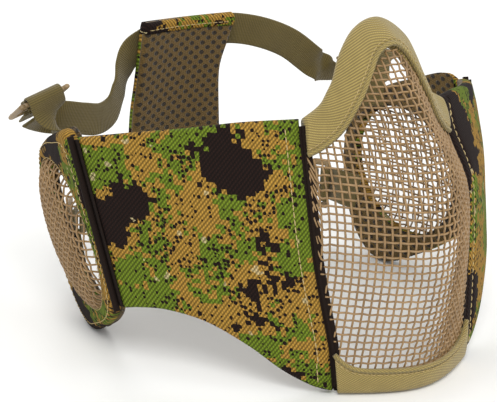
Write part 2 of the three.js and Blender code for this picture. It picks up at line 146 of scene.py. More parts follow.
def smooth_path(points, count, closed=False):
    """count points at equal steps along a centripetal Catmull-Rom curve."""
    points = np.array(points, float)
    n = len(points)
    if closed:
        padded = np.vstack([points[-1], points, points[0], points[1]])
        spans = n
    else:
        padded = np.vstack([2 * points[0] - points[1], points, 2 * points[-1] - points[-2]])
        spans = n - 1
    dense = []
    for i in range(spans):
        p = padded[i:i + 4]
        t = np.concatenate([[0], np.cumsum(np.linalg.norm(np.diff(p, axis=0), axis=1) ** 0.5 + 1e-9)])
        at = np.linspace(t[1], t[2], 40, endpoint=False)[:, None]
        a = [(t[k + 1] - at) / (t[k + 1] - t[k]) * p[k] + (at - t[k]) / (t[k + 1] - t[k]) * p[k + 1]
             for k in range(3)]
        b = [(t[k + 2] - at) / (t[k + 2] - t[k]) * a[k] + (at - t[k]) / (t[k + 2] - t[k]) * a[k + 1]
             for k in range(2)]
        dense.append((t[2] - at) / (t[2] - t[1]) * b[0] + (at - t[1]) / (t[2] - t[1]) * b[1])
    dense.append(padded[1:2] if closed else padded[-2:-1])
    return resample(np.vstack(dense), count, closed)


def resample(dense, count, closed=False):
    run = np.concatenate([[0], np.cumsum(np.linalg.norm(np.diff(dense, axis=0), axis=1))])
    at = np.linspace(0, run[-1], count, endpoint=not closed)
    return np.stack([np.interp(at, run, dense[:, k]) for k in range(dense.shape[1])], axis=1)


def unit(v):
    return v / np.maximum(np.linalg.norm(v, axis=-1, keepdims=True), 1e-9)


def along(points):
    """Distance run along a path, from 0."""
    return np.concatenate([[0], np.cumsum(np.linalg.norm(np.diff(points, axis=0), axis=1))])


def mirrored(side, points):
    return np.asarray(points, float) * np.array([side, 1, 1])


seam_x, seam_y, ridge_y = table(SEAM, 1), table(SEAM, 2), table(RIDGE, 1)
side_low, side_high = table(SIDE_LOWER, 1), table(SIDE_UPPER, 1)
pad_right, pad_left = table(PAD_EDGES, 1), table(PAD_EDGES, 2)
TIP = NOSE_LOWER[-1][2]
nose_x = table([[z, x, y] for x, y, z in reversed(NOSE_LOWER)], 1)
nose_y = table([[z, x, y] for x, y, z in reversed(NOSE_LOWER)], 2)


def full(rows):
    return [[-x, y, z] for x, y, z in reversed(rows[1:])] + rows


NOSE_STEPS = 161
nose_lower = smooth_path(full(NOSE_LOWER), NOSE_STEPS)
nose_upper = smooth_path(full(NOSE_UPPER), NOSE_STEPS)


def edge_x(z):
    return np.where(z < TIP, seam_x(z), np.maximum(nose_x(z), 0.5))


def edge_y(z):
    return np.where(z < TIP, seam_y(z), nose_y(z))


def front_depth(x, z):
    u = np.clip(x / edge_x(z), -1, 1)
    end = math.sqrt(1 + RIDGE_ROUND**2)
    forward = (end - np.sqrt(u * u + RIDGE_ROUND**2)) / (end - RIDGE_ROUND)
    return edge_y(z) + (ridge_y(z) - edge_y(z)) * forward


def wire_face(u, v):
    """A point of the wire front, from the right seam (u -1) to the left (1), chin (0) to nose (1)."""
    at = (u + 1) / 2 * (NOSE_STEPS - 1)
    top = np.stack([np.interp(at, np.arange(NOSE_STEPS), nose_lower[:, k]) for k in range(3)], axis=-1)
    z = v * top[..., 2]
    share = u + (top[..., 0] / NOSE_LOWER[-1][0] - u) * v
    x = share * seam_x(np.minimum(z, TIP))
    y = np.where(z < top[..., 2], front_depth(x, z), top[..., 1])
    return np.stack([x, y, z], axis=-1)


def crease(z):
    return CREASE_LOW + (CREASE_HIGH - CREASE_LOW) * (np.asarray(z)[..., None] - CREASE_LOW[2]) / (
        CREASE_HIGH[2] - CREASE_LOW[2])


EAR_BACK = np.array([-math.sin(EAR_TURN), math.cos(EAR_TURN), 0])
EAR_OUT = unit(np.cross(EAR_BACK, CREASE_HIGH - CREASE_LOW))


def ear_point(side, s, z, out):
    s, z, out = np.broadcast_arrays(*(np.asarray(v, float) for v in (s, z, out)))
    point = crease(z) + s[..., None] * EAR_BACK + out[..., None] * EAR_OUT
    point[..., 2] = np.maximum(point[..., 2], 0)
    return mirrored(side, point)


def side_face(side, t, b):
    z = side_low(t) + (side_high(t) - side_low(t)) * b
    start = np.stack([seam_x(z), seam_y(z), z], axis=-1)
    end = crease(z)
    out = unit(np.stack([end[..., 1] - start[..., 1], start[..., 0] - end[..., 0], 0 * z], axis=-1))
    point = start + (end - start) * t[..., None] + out * (SIDE_BULGE * 4 * t * (1 - t))[..., None]
    return mirrored(side, point)


# ---------- meshes ----------
class Solid:
    """Collects vertices, faces and UVs, in millimetres, and turns them into one object."""

    def __init__(self):
        self.points, self.faces, self.uvs, self.count = [], [], [], 0

    def add(self, points, faces, uvs=None):
        points = np.asarray(points, float).reshape(-1, 3)
        self.points.append(points)
        self.faces.extend([[k + self.count for k in face] for face in faces])
        self.uvs.append(np.zeros((len(points), 2)) if uvs is None else np.asarray(uvs).reshape(-1, 2))
        self.count += len(points)

    def build(self, name, material, body, replaces=()):
        """Makes the object. With no body it rides on nothing."""
        points = np.vstack(self.points)
        points[:, 1] += CENTRE_Y
        mesh = bpy.data.meshes.new(name)
        mesh.from_pydata((points * MM).tolist(), [], self.faces)
        uvs = np.vstack(self.uvs)
        layer = mesh.uv_layers.new(name="cloth")
        loops = np.empty(len(mesh.loops), dtype=np.int32)
        mesh.loops.foreach_get("vertex_index", loops)
        layer.data.foreach_set("uv", (uvs[loops] * MM * 10).ravel())
        mesh.shade_smooth()
        face_out(mesh)
        mesh.materials.append(material)
        obj = bpy.data.objects.new(name, mesh)
        bpy.context.scene.collection.objects.link(obj)
        if body:
            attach(obj, body)
        if replaces:
            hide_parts(*replaces)
        return obj


def face_out(mesh):
    work = bmesh.new()
    work.from_mesh(mesh)
    bmesh.ops.recalc_face_normals(work, faces=work.faces)
    work.to_mesh(mesh)
    work.free()


def grid_faces(rows, columns, base=0, wrap=False):
    faces = []
    for i in range(rows - 1):
        for j in range(columns if wrap else columns - 1):
            k = (j + 1) % columns
            faces.append([base + i * columns + j, base + i * columns + k,
                          base + (i + 1) * columns + k, base + (i + 1) * columns + j])
    return faces


def sheet_solid(solid, face, low, high, uv):
    """A closed body between two offsets of a grid of points, low and high along its normals."""
    rows, columns = face.shape[:2]
    normal = grid_normals(face)
    top = face + normal * np.broadcast_to(high, (rows, columns))[..., None]
    under = face + normal * np.broadcast_to(low, (rows, columns))[..., None]
    n = rows * columns
    faces = grid_faces(rows, columns) + [f[::-1] for f in grid_faces(rows, columns, n)]
    rim = ([(0, j) for j in range(columns)] + [(i, columns - 1) for i in range(1, rows)]
           + [(rows - 1, j) for j in range(columns - 2, -1, -1)] + [(i, 0) for i in range(rows - 2, 0, -1)])
    rim = [i * columns + j for i, j in rim]
    for a, b in zip(rim, rim[1:] + rim[:1]):
        faces.append([a, b, n + b, n + a])
    solid.add(np.concatenate([top.reshape(-1, 3), under.reshape(-1, 3)]), faces,
              np.concatenate([uv.reshape(-1, 2), uv.reshape(-1, 2)]))


def grid_normals(face):
    du = np.gradient(face, axis=0)
    dv = np.gradient(face, axis=1)
    return unit(np.cross(du, dv))


def arc_uv(face):
    """Distances along and up a grid, in millimetres, measured from its middle lines."""
    u = np.cumsum(np.linalg.norm(np.diff(face, axis=0, prepend=face[:1]), axis=2), axis=0)
    v = np.cumsum(np.linalg.norm(np.diff(face, axis=1, prepend=face[:, :1]), axis=2), axis=1)
    return np.stack([u, v], axis=-1)


def edge_distance(uv):
    u, v = uv[..., 0], uv[..., 1]
    return np.minimum(np.minimum(u, u[-1:] - u), np.minimum(v, v[:, -1:] - v))


def rolled(distance, radius):
    """How far a surface drops towards an edge that is rounded with this radius."""
    share = 1 - np.clip(distance / radius, 0, 1)
    return radius * (1 - np.sqrt(1 - share**2))


def packed(count, power=0.75):
    """Shares from 0 to 1 that lie closer together near both ends."""
    t = np.linspace(-1, 1, count)
    return (np.sign(t) * (1 - (1 - np.abs(t)) ** (1 / power)) + 1) / 2


def tube(solid, points, radius, sides=8, closed=False, flat=1.0, normal=None):
    """A round cord along the points. flat squeezes it along the given normals."""
    points = np.asarray(points, float)
    if closed:
        tangent = unit(np.roll(points, -1, 0) - np.roll(points, 1, 0))
    else:
        tangent = unit(np.gradient(points, axis=0))
    if normal is None:
        normal = np.cross(tangent, np.roll(tangent, 1, 0)) + np.array([0.013, 0.021, 1.0])
    up = unit(normal - tangent * np.sum(normal * tangent, axis=1, keepdims=True))
    across = np.cross(tangent, up)
    angle = np.linspace(0, 2 * math.pi, sides, endpoint=False)
    ring = (across[:, None] * np.cos(angle)[None, :, None]
            + up[:, None] * np.sin(angle)[None, :, None] * flat) * radius
    verts = points[:, None] + ring
    n = len(points)
    faces = grid_faces(n, sides, wrap=True)
    if closed:
        last = (n - 1) * sides
        faces += [[last + j, last + (j + 1) % sides, (j + 1) % sides, j] for j in range(sides)]
    else:
        faces += [list(range(sides))[::-1], list(range((n - 1) * sides, n * sides))]
    run = along(points)
    uv = np.stack(np.broadcast_arrays(run[:, None], angle[None] * radius), axis=-1)
    solid.add(verts, faces, uv)


def ribbon(solid, points, width_way, width, thick, steps=5):
    """Webbing along the points with rounded edges. width_way gives its width direction at each."""
    points = np.asarray(points, float)
    tangent = unit(np.gradient(points, axis=0))
    wide = unit(width_way - tangent * np.sum(width_way * tangent, axis=1, keepdims=True))
    face = np.cross(tangent, wide)
    half = width / 2
    angle = np.linspace(-math.pi / 2, math.pi / 2, steps)
    cap_x, cap_y = half - thick / 2 + np.cos(angle) * thick / 2, np.sin(angle) * thick / 2
    xs = np.concatenate([cap_x, np.linspace(half, -half, 6)[1:-1], -cap_x[::-1],
                         np.linspace(-half, half, 6)[1:-1]])
    ys = np.concatenate([cap_y, np.full(4, thick / 2), cap_y[::-1], np.full(4, -thick / 2)])
    verts = points[:, None] + wide[:, None] * xs[None, :, None] + face[:, None] * ys[None, :, None]
    n, m = len(points), len(xs)
    faces = grid_faces(n, m, wrap=True) + [list(range(m))[::-1], list(range((n - 1) * m, n * m))]
    uv = np.stack(np.broadcast_arrays(along(points)[:, None], xs[None]), axis=-1)
    solid.add(verts, faces, uv)


def stitches(solid, points, normals, length=2.3, skip=0.9, thick=0.36):
    """A row of sewn stitches: short threads that rise from the cloth and dip back into it."""
    run = along(points)
    count = int(run[-1] / (length + skip))
    for k in range(count):
        at = (k + 0.5) * (length + skip) + np.linspace(-0.5, 0.5, 5) * (length + 0.3)
        path = np.stack([np.interp(at, run, points[:, c]) for c in range(3)], axis=1)
        up = unit(np.stack([np.interp(at, run, normals[:, c]) for c in range(3)], axis=1))
        lift = np.array([-0.25, 0.16, 0.26, 0.16, -0.25])[:, None]
        tube(solid, path + up * lift, thick / 2, sides=5, normal=up)


# ---------- materials ----------
class Look:
    """Short names for making a node material."""

    def __init__(self, name, roughness=0.8, **inputs):
        self.material = bpy.data.materials.new(name)
        self.material.use_nodes = True
        self.tree = self.material.node_tree
        self.shader = self.tree.nodes["Principled BSDF"]
        self.shader.inputs["Roughness"].default_value = roughness
        for key, value in inputs.items():
            self.shader.inputs[key.replace("_", " ")].default_value = value

    def node(self, kind, **values):
        node = self.tree.nodes.new(kind)
        for key, value in values.items():
            setattr(node, key, value)
        return node

    def link(self, source, target):
        self.tree.links.new(source, target)

    def math(self, kind, a, b=None, c=None, clamp=False):
        node = self.node("ShaderNodeMath", operation=kind, use_clamp=clamp)
        for socket, value in zip(node.inputs, (a, b, c)):
            self.feed(value, socket)
        return node.outputs[0]

    def feed(self, value, socket):
        if value is None:
            return
        if isinstance(value, bpy.types.NodeSocket):
            self.link(value, socket)
        else:
            socket.default_value = value

    def vector(self, kind, a, b):
        node = self.node("ShaderNodeVectorMath", operation=kind)
        self.feed(a, node.inputs[0])
        self.feed(b, node.inputs[1])
        return node.outputs[0]

    def millimetres(self):
        """The cloth's own coordinates, in millimetres."""
        uv = self.node("ShaderNodeUVMap", uv_map="cloth")
        return self.vector("MULTIPLY", uv.outputs[0], (100, 100, 0))

    def place(self):
        """Coordinates fixed to the object, in millimetres."""
        return self.vector("MULTIPLY", self.node("ShaderNodeTexCoord").outputs["Object"], (1000, 1000, 1000))

    def noise(self, where, scale, detail=2.0, rough=0.5, seed=(0, 0, 0)):
        node = self.node("ShaderNodeTexNoise")
        self.link(self.vector("ADD", where, seed), node.inputs["Vector"])
        node.inputs["Scale"].default_value = scale
        node.inputs["Detail"].default_value = detail
        node.inputs["Roughness"].default_value = rough
        return node.outputs["Fac"]

    def mix(self, share, a, b, blend="MIX"):
        node = self.node("ShaderNodeMix", data_type="RGBA", blend_type=blend)
        self.feed(share, node.inputs[0])
        self.feed(a, node.inputs[6])
        self.feed(b, node.inputs[7])
        return node.outputs[2]

    def ramp(self, value, low, high):
        return self.math("MULTIPLY", self.math("SUBTRACT", value, low), 1 / (high - low), clamp=True)

    def wave(self, where, along_x, along_y, sharp=1.0):
        """A ridge pattern with these numbers of ridges per millimetre, from 0 to 1."""
        split = self.node("ShaderNodeSeparateXYZ")
        self.link(where, split.inputs[0])
        turn = self.math("ADD", self.math("MULTIPLY", split.outputs[0], along_x * 2 * math.pi),
                         self.math("MULTIPLY", split.outputs[1], along_y * 2 * math.pi))
        value = self.math("MULTIPLY_ADD", self.math("SINE", turn), 0.5, 0.5)
        return self.math("POWER", value, sharp) if sharp != 1 else value

    def finish(self, colour, height=None, strength=0.5, distance=0.3, roughness=None):
        self.feed(colour, self.shader.inputs["Base Color"])
        if roughness is not None:
            self.feed(roughness, self.shader.inputs["Roughness"])
        if height is not None:
            bump = self.node("ShaderNodeBump")
            bump.inputs["Strength"].default_value = strength
            bump.inputs["Distance"].default_value = distance * MM
            self.link(height, bump.inputs["Height"])
            self.link(bump.outputs[0], self.shader.inputs["Normal"])
        return self.material


def srgb(text):
    """A colour written as six hex digits, as linear red, green, blue and alpha."""
    parts = [int(text[k:k + 2], 16) / 255 for k in (0, 2, 4)]
    return tuple(c / 12.92 if c < 0.04045 else ((c + 0.055) / 1.055) ** 2.4 for c in parts) + (1.0,)


CAMO = {"ochre": "a98236", "green": "6a7d20", "brown": "1f100b", "pale": "c9b88a"}
CAMO_LEVELS = {"green": 0.56, "dark": 0.585, "pale": 0.72}  # noise above these takes that colour


def cells(look, where, per_mm, loose, distance):
    """Random cells: where each one's middle lies, a random value for it, and the distance to it."""
    node = look.node("ShaderNodeTexVoronoi", feature="F1", distance=distance)
    look.link(where, node.inputs["Vector"])
    node.inputs["Scale"].default_value = per_mm
    node.inputs["Randomness"].default_value = loose
    split = look.node("ShaderNodeSeparateColor")
    look.link(node.outputs["Color"], split.inputs[0])
    return node.outputs["Position"], split.outputs[0], node.outputs["Distance"]


def camo_look(name, seed):
    """Printed nylon: ground in two colours, crowds of round dots, and stepped dark patches."""
    look = Look(name, roughness=0.9, Specular_IOR_Level=0.2)
    mm = look.millimetres()
    shifted = look.vector("ADD", mm, (seed * 137.0, seed * 51.0, 0))
    dot_at, dot, dot_far = cells(look, shifted, 0.52, 0.7, "EUCLIDEAN")
    block_at, block, _ = cells(look, shifted, 0.5, 0.3, "CHEBYCHEV")
    ground = look.math("ADD", look.noise(block_at, 0.04, 3.0, 0.6), look.math("MULTIPLY", block, 0.12))
    green = look.math("GREATER_THAN", ground, CAMO_LEVELS["green"])
    colour = look.mix(green, srgb(CAMO["ochre"]), srgb(CAMO["green"]))
    crowd = look.math("MULTIPLY_ADD", look.noise(dot_at, 0.05, 2.0, 0.5, (31, 17, 0)), 2.6, -0.78)
    crowd = look.math("ADD", crowd, look.math("MULTIPLY", green, 0.15))
    spot = look.math("LESS_THAN", dot, crowd)
    inside = look.math("LESS_THAN", dot_far, look.math("MULTIPLY_ADD", dot, 0.15, 0.36))
    brown = srgb(CAMO["brown"])
    colour = look.mix(look.math("MULTIPLY", spot, inside), colour, brown)
    large = look.math("MULTIPLY_ADD", block, 0.05, look.noise(block_at, 0.021, 4.0, 0.55, (3, 8, 0)))
    colour = look.mix(look.math("GREATER_THAN", large, CAMO_LEVELS["dark"]), colour, brown)
    fleck = look.math("GREATER_THAN", look.noise(dot_at, 0.16, 1.0, 0.5, (77, 5, 0)), CAMO_LEVELS["pale"])
    colour = look.mix(look.math("MULTIPLY", fleck, 0.7), colour, srgb(CAMO["pale"]))
    thread = look.math("MULTIPLY", look.wave(mm, 0.55, 0.5),
                       look.math("MULTIPLY_ADD", look.wave(mm, 0.8, -0.3), 0.6, 0.4))
    worn = look.math("MULTIPLY_ADD", look.noise(mm, 0.25, 4.0), 0.5, 0.75)
    shade = look.math("MULTIPLY", look.math("MULTIPLY_ADD", thread, 0.95, 0.32), worn)
    colour = look.mix(1.0, colour, combine(look, shade), "MULTIPLY")
    return look.finish(colour, thread, 0.6, 0.4)


def combine(look, value):
    node = look.node("ShaderNodeCombineXYZ")
    for socket in node.inputs:
        look.link(value, socket)
    return node.outputs[0]


def knit_look(name, colour, deep, across=0.55, up=0.95):
    look = Look(name, roughness=0.9, Sheen_Weight=0.2)
    mm = look.millimetres()
    left = look.wave(mm, across, up)
    right = look.wave(mm, across, -up)
    stitch = look.math("MAXIMUM", look.math("MULTIPLY", left, right), look.math("MULTIPLY", left, 0.55))
    tone = look.mix(stitch, srgb(deep), srgb(colour))
    worn = look.math("MULTIPLY_ADD", look.noise(mm, 0.12, 4.0), 0.35, 0.82)
    tone = look.mix(1.0, tone, combine(look, worn), "MULTIPLY")
    return look.finish(tone, stitch, 0.7, 0.4)


def webbing_look(name, colour, deep):
    look = Look(name, roughness=0.8, Sheen_Weight=0.2)
    mm = look.millimetres()
    across = look.math("MULTIPLY_ADD", look.wave(mm, 0, 0.7), 0.3, 0.7)
    ribs = look.math("MULTIPLY", look.wave(mm, 1.15, 0), across)
    tone = look.mix(look.math("MULTIPLY_ADD", ribs, 0.6, 0.3), srgb(deep), srgb(colour))
    worn = look.math("MULTIPLY_ADD", look.noise(mm, 0.1, 4.0), 0.4, 0.8)
    tone = look.mix(1.0, tone, combine(look, worn), "MULTIPLY")
    return look.finish(tone, ribs, 0.6, 0.4)


def spacer_look(name, colour, deep):
    """Spacer mesh: rows of oval holes in a soft knitted face, with painted shade inside the holes."""
    look = Look(name, roughness=0.9, Sheen_Weight=0.15)
    mm = look.millimetres()
    holes = look.math("MULTIPLY", look.wave(mm, 0.16, 0.2), look.wave(mm, 0.16, -0.2))
    open_part = look.math("GREATER_THAN", holes, 0.42)
    soft = look.ramp(holes, 0.25, 0.55)
    fine = look.math("MULTIPLY", look.wave(mm, 0.9, 0.3), look.wave(mm, 0.3, -0.9))
    tone = look.mix(look.math("MULTIPLY_ADD", fine, 0.5, 0.5), srgb(deep), srgb(colour))
    # the holes and a rim round them are painted near black: painted shade inside the holes
    tone = look.mix(look.math("MAXIMUM", look.math("MULTIPLY", soft, 0.85), look.math(
        "MULTIPLY", open_part, 0.9)), tone, srgb("140d05"))
    return look.finish(tone, look.math("SUBTRACT", look.math("MULTIPLY", fine, 0.3), soft), 0.8, 0.8)


def paint_look(name, colour, edge, bare):
    look = Look(name, roughness=0.45, Metallic=0.0, Specular_IOR_Level=0.5)
    mm = look.place()
    patch = look.noise(mm, 0.08, 4.0, 0.6)
    fine = look.noise(mm, 1.2, 3.0, 0.6, (9, 3, 1))
    tone = look.mix(look.ramp(patch, 0.35, 0.65), srgb(colour), srgb(edge))
    chipped = look.ramp(look.math("MULTIPLY", fine, patch), 0.37, 0.41)
    tone = look.mix(look.math("MULTIPLY", chipped, 0.7), tone, srgb(bare))
    rough = look.math("MULTIPLY_ADD", fine, 0.25, 0.33)
    return look.finish(tone, fine, 0.25, 0.08, rough)


def plastic_look(name, colour, edge):
    look = Look(name, roughness=0.42)
    mm = look.place()
    grain = look.noise(mm, 2.2, 3.0)
    tone = look.mix(look.ramp(look.noise(mm, 0.15, 3.0), 0.3, 0.7), srgb(colour), srgb(edge))
    return look.finish(tone, grain, 0.25, 0.1, look.math("MULTIPLY_ADD", grain, 0.25, 0.32))


def thread_look(name, colour, deep):
    look = Look(name, roughness=0.85, Specular_IOR_Level=0.2)
    mm = look.place()
    twist = look.noise(mm, 1.5, 2.0)
    return look.finish(look.mix(twist, srgb(deep), srgb(colour)), twist, 0.3, 0.1)


LOOKS = {
    "camo_right": camo_look("camo_right", 1.0),
    "camo_left": camo_look("camo_left", 4.0),
    "camo_ear": camo_look("camo_ear", 7.0),
    "camo_pad": camo_look("camo_pad", 2.0),
    "tape": knit_look("tape_knit", "b9a35c", "75653a"),
    "webbing": webbing_look("webbing", "6f5f26", "362c0e"),
    "spacer": spacer_look("spacer", "6b5220", "37290c"),
    "wire": paint_look("wire_paint", "9c7d54", "876a44", "6f675c"),
    "plastic": plastic_look("buckle_plastic", "98805c", "7c6747"),
    "thread": thread_look("thread", "d6c291", "94794a"),
    # dark: near-black painted shade for the gaps at the seams and creases
    "dark": thread_look("gap_shade_dark", "20120a", "0c0704"),
}


# ---------- woven wire ----------
def weave(solid, nodes, normals, valid):
    """Wires through a grid of crossings, each over one wire and under the next."""
    steps = 4
    for axis in (0, 1):
        grid, up, good = (np.swapaxes(a, 0, 1) if axis else a for a in (nodes, normals, valid))
        for i in range(grid.shape[0]):
            good_at = np.flatnonzero(good[i])
            if len(good_at) < 2:
                continue
            for span in np.split(good_at, np.flatnonzero(np.diff(good_at) > 1) + 1):
                if len(span) < 2:
                    continue
                at = np.linspace(span[0], span[-1], steps * (len(span) - 1) + 1)
                path = interpolate(grid[i], at)
                way = unit(interpolate(up[i], at))
                sign = 1 if axis else -1
                wave = sign * WIRE_WAVE * np.cos(math.pi * (at + i))
                tube(solid, path + way * wave[:, None], WIRE_RADIUS, sides=6, normal=way)


def interpolate(rows, at):
    """Smooth values between whole-numbered rows."""
    n = len(rows)
    low = np.clip(at.astype(int), 0, n - 2)
    w = (at - low)[:, None]
    p1, p2 = rows[low], rows[low + 1]
    p0, p3 = rows[np.maximum(low - 1, 0)], rows[np.minimum(low + 2, n - 1)]
    p0 = np.where(np.isnan(p0), 2 * p1 - p2, p0)
    p3 = np.where(np.isnan(p3), 2 * p2 - p1, p3)
    v0, v1 = (p2 - p0) / 2, (p3 - p1) / 2
    out = (2 * p1 - 2 * p2 + v0 + v1) * w**3 + (-3 * p1 + 3 * p2 - 2 * v0 - v1) * w**2 + v0 * w + p1
    return np.where(w == 0, p1, out)


def front_wires():
    """Crossings lie at equal distances from the ridge across, and from mid height up and down."""
    levels = np.arange(WIRE_LOW, RIDGE[-1][0] + 1.5, 0.5)
    half = WIRE_COLUMNS
    columns = np.full((2 * half + 1, len(levels), 3), np.nan)
    for k, z in enumerate(levels):
        reach = edge_x(z) + (1.5 if z > TIP else 0)
        x = np.linspace(0, reach, 80)
        y = front_depth(x, np.full_like(x, z))
        run = along(np.stack([x, y], axis=1))
        for i in range(half + 1):
            if i * WIRE_PITCH <= run[-1]:
                at = [np.interp(i * WIRE_PITCH, run, values) for values in (x, y)]
                columns[half + i, k] = [at[0], at[1], z]
                columns[half - i, k] = [-at[0], at[1], z]
    nodes = np.full((2 * half + 1, WIRE_ROWS, 3), np.nan)
    for i, column in enumerate(columns):
        good = np.flatnonzero(~np.isnan(column[:, 0]))
        if len(good) < 4:
            continue
        line = column[good]
        run = along(line)
        run -= np.interp(WIRE_MIDDLE, line[:, 2], run)
        at = (np.arange(WIRE_ROWS) - WIRE_ROWS // 2) * WIRE_PITCH
        inside = (at >= run[0]) & (at <= run[-1])
        for c in range(3):
            nodes[i, inside, c] = np.interp(at[inside], run, line[:, c])
    valid = ~np.isnan(nodes[..., 0])
    x, z = nodes[..., 0], nodes[..., 2]
    step = 0.4
    slope_x = (front_depth(x + step, z) - front_depth(x - step, z)) / (2 * step)
    slope_z = (front_depth(x, z + step) - front_depth(x, z - step)) / (2 * step)
    normals = unit(np.stack([slope_x, -np.ones_like(x), slope_z], axis=-1))
    solid = Solid()
    weave(solid, nodes, normals, valid)
    solid.build("face_wires", LOOKS["wire"], "front", ["face_mesh"])


def dome_rise(s, z):
    share = np.hypot((s - WINDOW_S) / WINDOW_RS, (z - WINDOW_Z) / WINDOW_RZ)
    angle = np.arccos(np.clip(share, 0, 1) ** 1.25)
    return DOME * np.sin(angle) ** 0.9, share


def ear_wires(word, side):
    steps = (np.arange(EAR_WIRES) - EAR_WIRES // 2) * WIRE_PITCH * 0.97
    s, z = np.meshgrid(WINDOW_S + steps, WINDOW_Z + steps, indexing="ij")
    rise, share = dome_rise(s, z)
    nodes = ear_point(side, s, z, rise + 0.6)
    valid = share < 1.1
    soft = 2.0
    slope_s = (dome_rise(s + soft, z)[0] - dome_rise(s - soft, z)[0]) / (2 * soft)
    slope_z = (dome_rise(s, z + soft)[0] - dome_rise(s, z - soft)[0]) / (2 * soft)
    up = EAR_OUT - slope_s[..., None] * EAR_BACK - slope_z[..., None] * unit(CREASE_HIGH - CREASE_LOW)
    solid = Solid()
    weave(solid, nodes, mirrored(side, unit(up)), valid)
    solid.build(f"ear_wires_{word}", LOOKS["wire"], f"ear_{word}", [f"ear_mesh_{word}"])


# ---------- front bindings ----------
def binding(name, low, high, replaces, bulge, hem, level=False):
    """A padded knitted band between two edges, over both faces of the wire."""
    across = packed(17, 0.7)
    face = low[:, None] + (high - low)[:, None] * across[None, :, None]
    normal = grid_normals(face)
    front = np.sign(np.sum(normal * np.array([0, -1, 0]), axis=-1).mean())
    uv = arc_uv(face)
    distance = np.minimum(uv[..., 1], uv[:, -1:, 1] - uv[..., 1])
    thick = SKIN + TAPE
    crown = bulge * np.sin(math.pi * across)[None, :]
    outer = thick - rolled(distance, thick) + crown
    inner = -(thick - rolled(distance, thick)) - crown * 0.4
    if front < 0:
        outer, inner = -inner, -outer
    if level:
        face[:, 0, 2] = 0.3
    solid = Solid()
    sheet_solid(solid, face, inner, outer, uv)
    obj = solid.build(name, LOOKS["tape"], "front", replaces)
    edge, ways = face[:, hem], normal[:, hem] * front
    cord = Solid()
    tube(cord, edge + ways * (SKIN + 0.9), 1.15, sides=10)
    cord.build(f"{name}_roll", LOOKS["tape"], "front", ())
    row = Solid()
    inside = 3 if hem == 0 else -4
    lift = np.abs(outer if front > 0 else inner)[:, inside, None] + 0.02
    line = face[:, inside] + normal[:, inside] * front * lift
    stitches(row, line, normal[:, inside] * front, 1.9, 1.0, 0.34)
    row.build(f"{name}_stitches", LOOKS["thread"], "front", ())


def front_bindings():
    keep = np.linspace(-1, 1, NOSE_STEPS)
    inset = 0.985
    at = (keep * inset + 1) / 2 * (NOSE_STEPS - 1)

    def pick(rows):
        return np.stack([np.interp(at, np.arange(NOSE_STEPS), rows[:, k]) for k in range(3)], 1)

    binding("nose_tape", pick(nose_lower), pick(nose_upper), ["nose_binding", "nose_pad"], 0.7, 0)
    u = np.linspace(-0.985, 0.985, 120)
    top = pick(nose_lower)[:, 2]
    height = np.interp(u, keep * inset, top)
    band = CHIN_BAND_MIDDLE + (CHIN_BAND - CHIN_BAND_MIDDLE) * np.abs(u) ** 10
    low = wire_face(u, np.zeros_like(u))
    high = wire_face(u, band / height)
    binding("chin_tape", low, high, ["chin_binding", "chin_pad"], 0.6, -1, level=True)


# Near-black cords along both seams: painted shade for the dark gap between the wire front and the side
# panels.
def seam_shade_welts():
    for word, side in SIDES:
        z = np.linspace(1.5, 112, 70)
        path = mirrored(side, np.stack([seam_x(z) - 0.2, seam_y(z) - 0.1, z], axis=1))
        solid = Solid()
        tube(solid, path, 1.1, sides=10)
        solid.build(f"seam_shade_welt_{word}", LOOKS["dark"], "front", ())


# ---------- side panels ----------
def side_panels():
    for word, side in SIDES:
        t, b = np.meshgrid(packed(91, 0.85), packed(71, 0.85), indexing="ij")
        share = 0.012 + t * 0.97
        cover = side_face(side, share, b)
        height = side_low(share) + (side_high(share) - side_low(share)) * b
        seam = np.stack([seam_x(height), seam_y(height)], axis=-1)
        # the print runs square to the ground, in distance from the seam and height
        length = np.linalg.norm(crease(height)[..., :2] - seam, axis=-1)
        print_uv = np.stack([share * length, height], axis=-1)
        uv = arc_uv(cover)
        distance = edge_distance(uv)
        ripple = 0.28 * np.sin(uv[..., 1] / 13 + uv[..., 0] / 29) * np.clip(distance / 12, 0, 1)
        line = np.exp(-((uv[..., 0] - SEAM_STITCH) / 0.8) ** 2)
        puff = 1.0 * np.clip(distance / 10, 0, 1) ** 0.7
        top = CLOTH - 0.6 + puff + ripple - 0.55 * line - rolled(distance, 2.2)
        bottom = LINING_TOP + GAP / 2 + 0 * top
        solid = Solid()
        low, high = (bottom, top) if side > 0 else (-top, -bottom)
        sheet_solid(solid, cover, low, high, print_uv)
        obj = solid.build(f"side_cloth_{word}", LOOKS[f"camo_{word}"], f"side_{word}",
                          [f"side_cover_{word}", f"side_foam_{word}"])
        inside = LINING_LOW + 0.4 + rolled(distance, 1.5) - 0.5 * puff
        low, high = (inside, bottom) if side > 0 else (-bottom, -inside)
        solid = Solid()
        sheet_solid(solid, cover, low, high, print_uv)
        obj = solid.build(f"side_spacer_{word}", LOOKS["spacer"], f"side_{word}",
                          [f"side_lining_{word}"])
        normal = grid_normals(cover) * side
        rows = Solid()
        pick = np.argmin(np.abs(uv[..., 0] - SEAM_STITCH), axis=0)
        at = np.arange(cover.shape[1])
        keep = slice(3, -3)
        lift = top[pick, at][keep, None] + 0.05
        stitches(rows, cover[pick, at][keep] + normal[pick, at][keep] * lift,
                 normal[pick, at][keep], thick=0.5)
        rows.build(f"side_stitches_{word}", LOOKS["thread"], f"side_{word}", ())


def crease_shade_rolls():
    """The bound edge that each ear cup hinges on, near black as painted shade for the gap at the crease."""
    for word, side in SIDES:
        z = np.linspace(CREASE_LOW[2] - 1, CREASE_HIGH[2] + 0.5, 60)
        solid = Solid()
        tube(solid, ear_point(side, 1.0, z, 1.0), 1.5, sides=14)
        solid.build(f"crease_shade_roll_{word}", LOOKS["dark"], f"side_{word}", ())


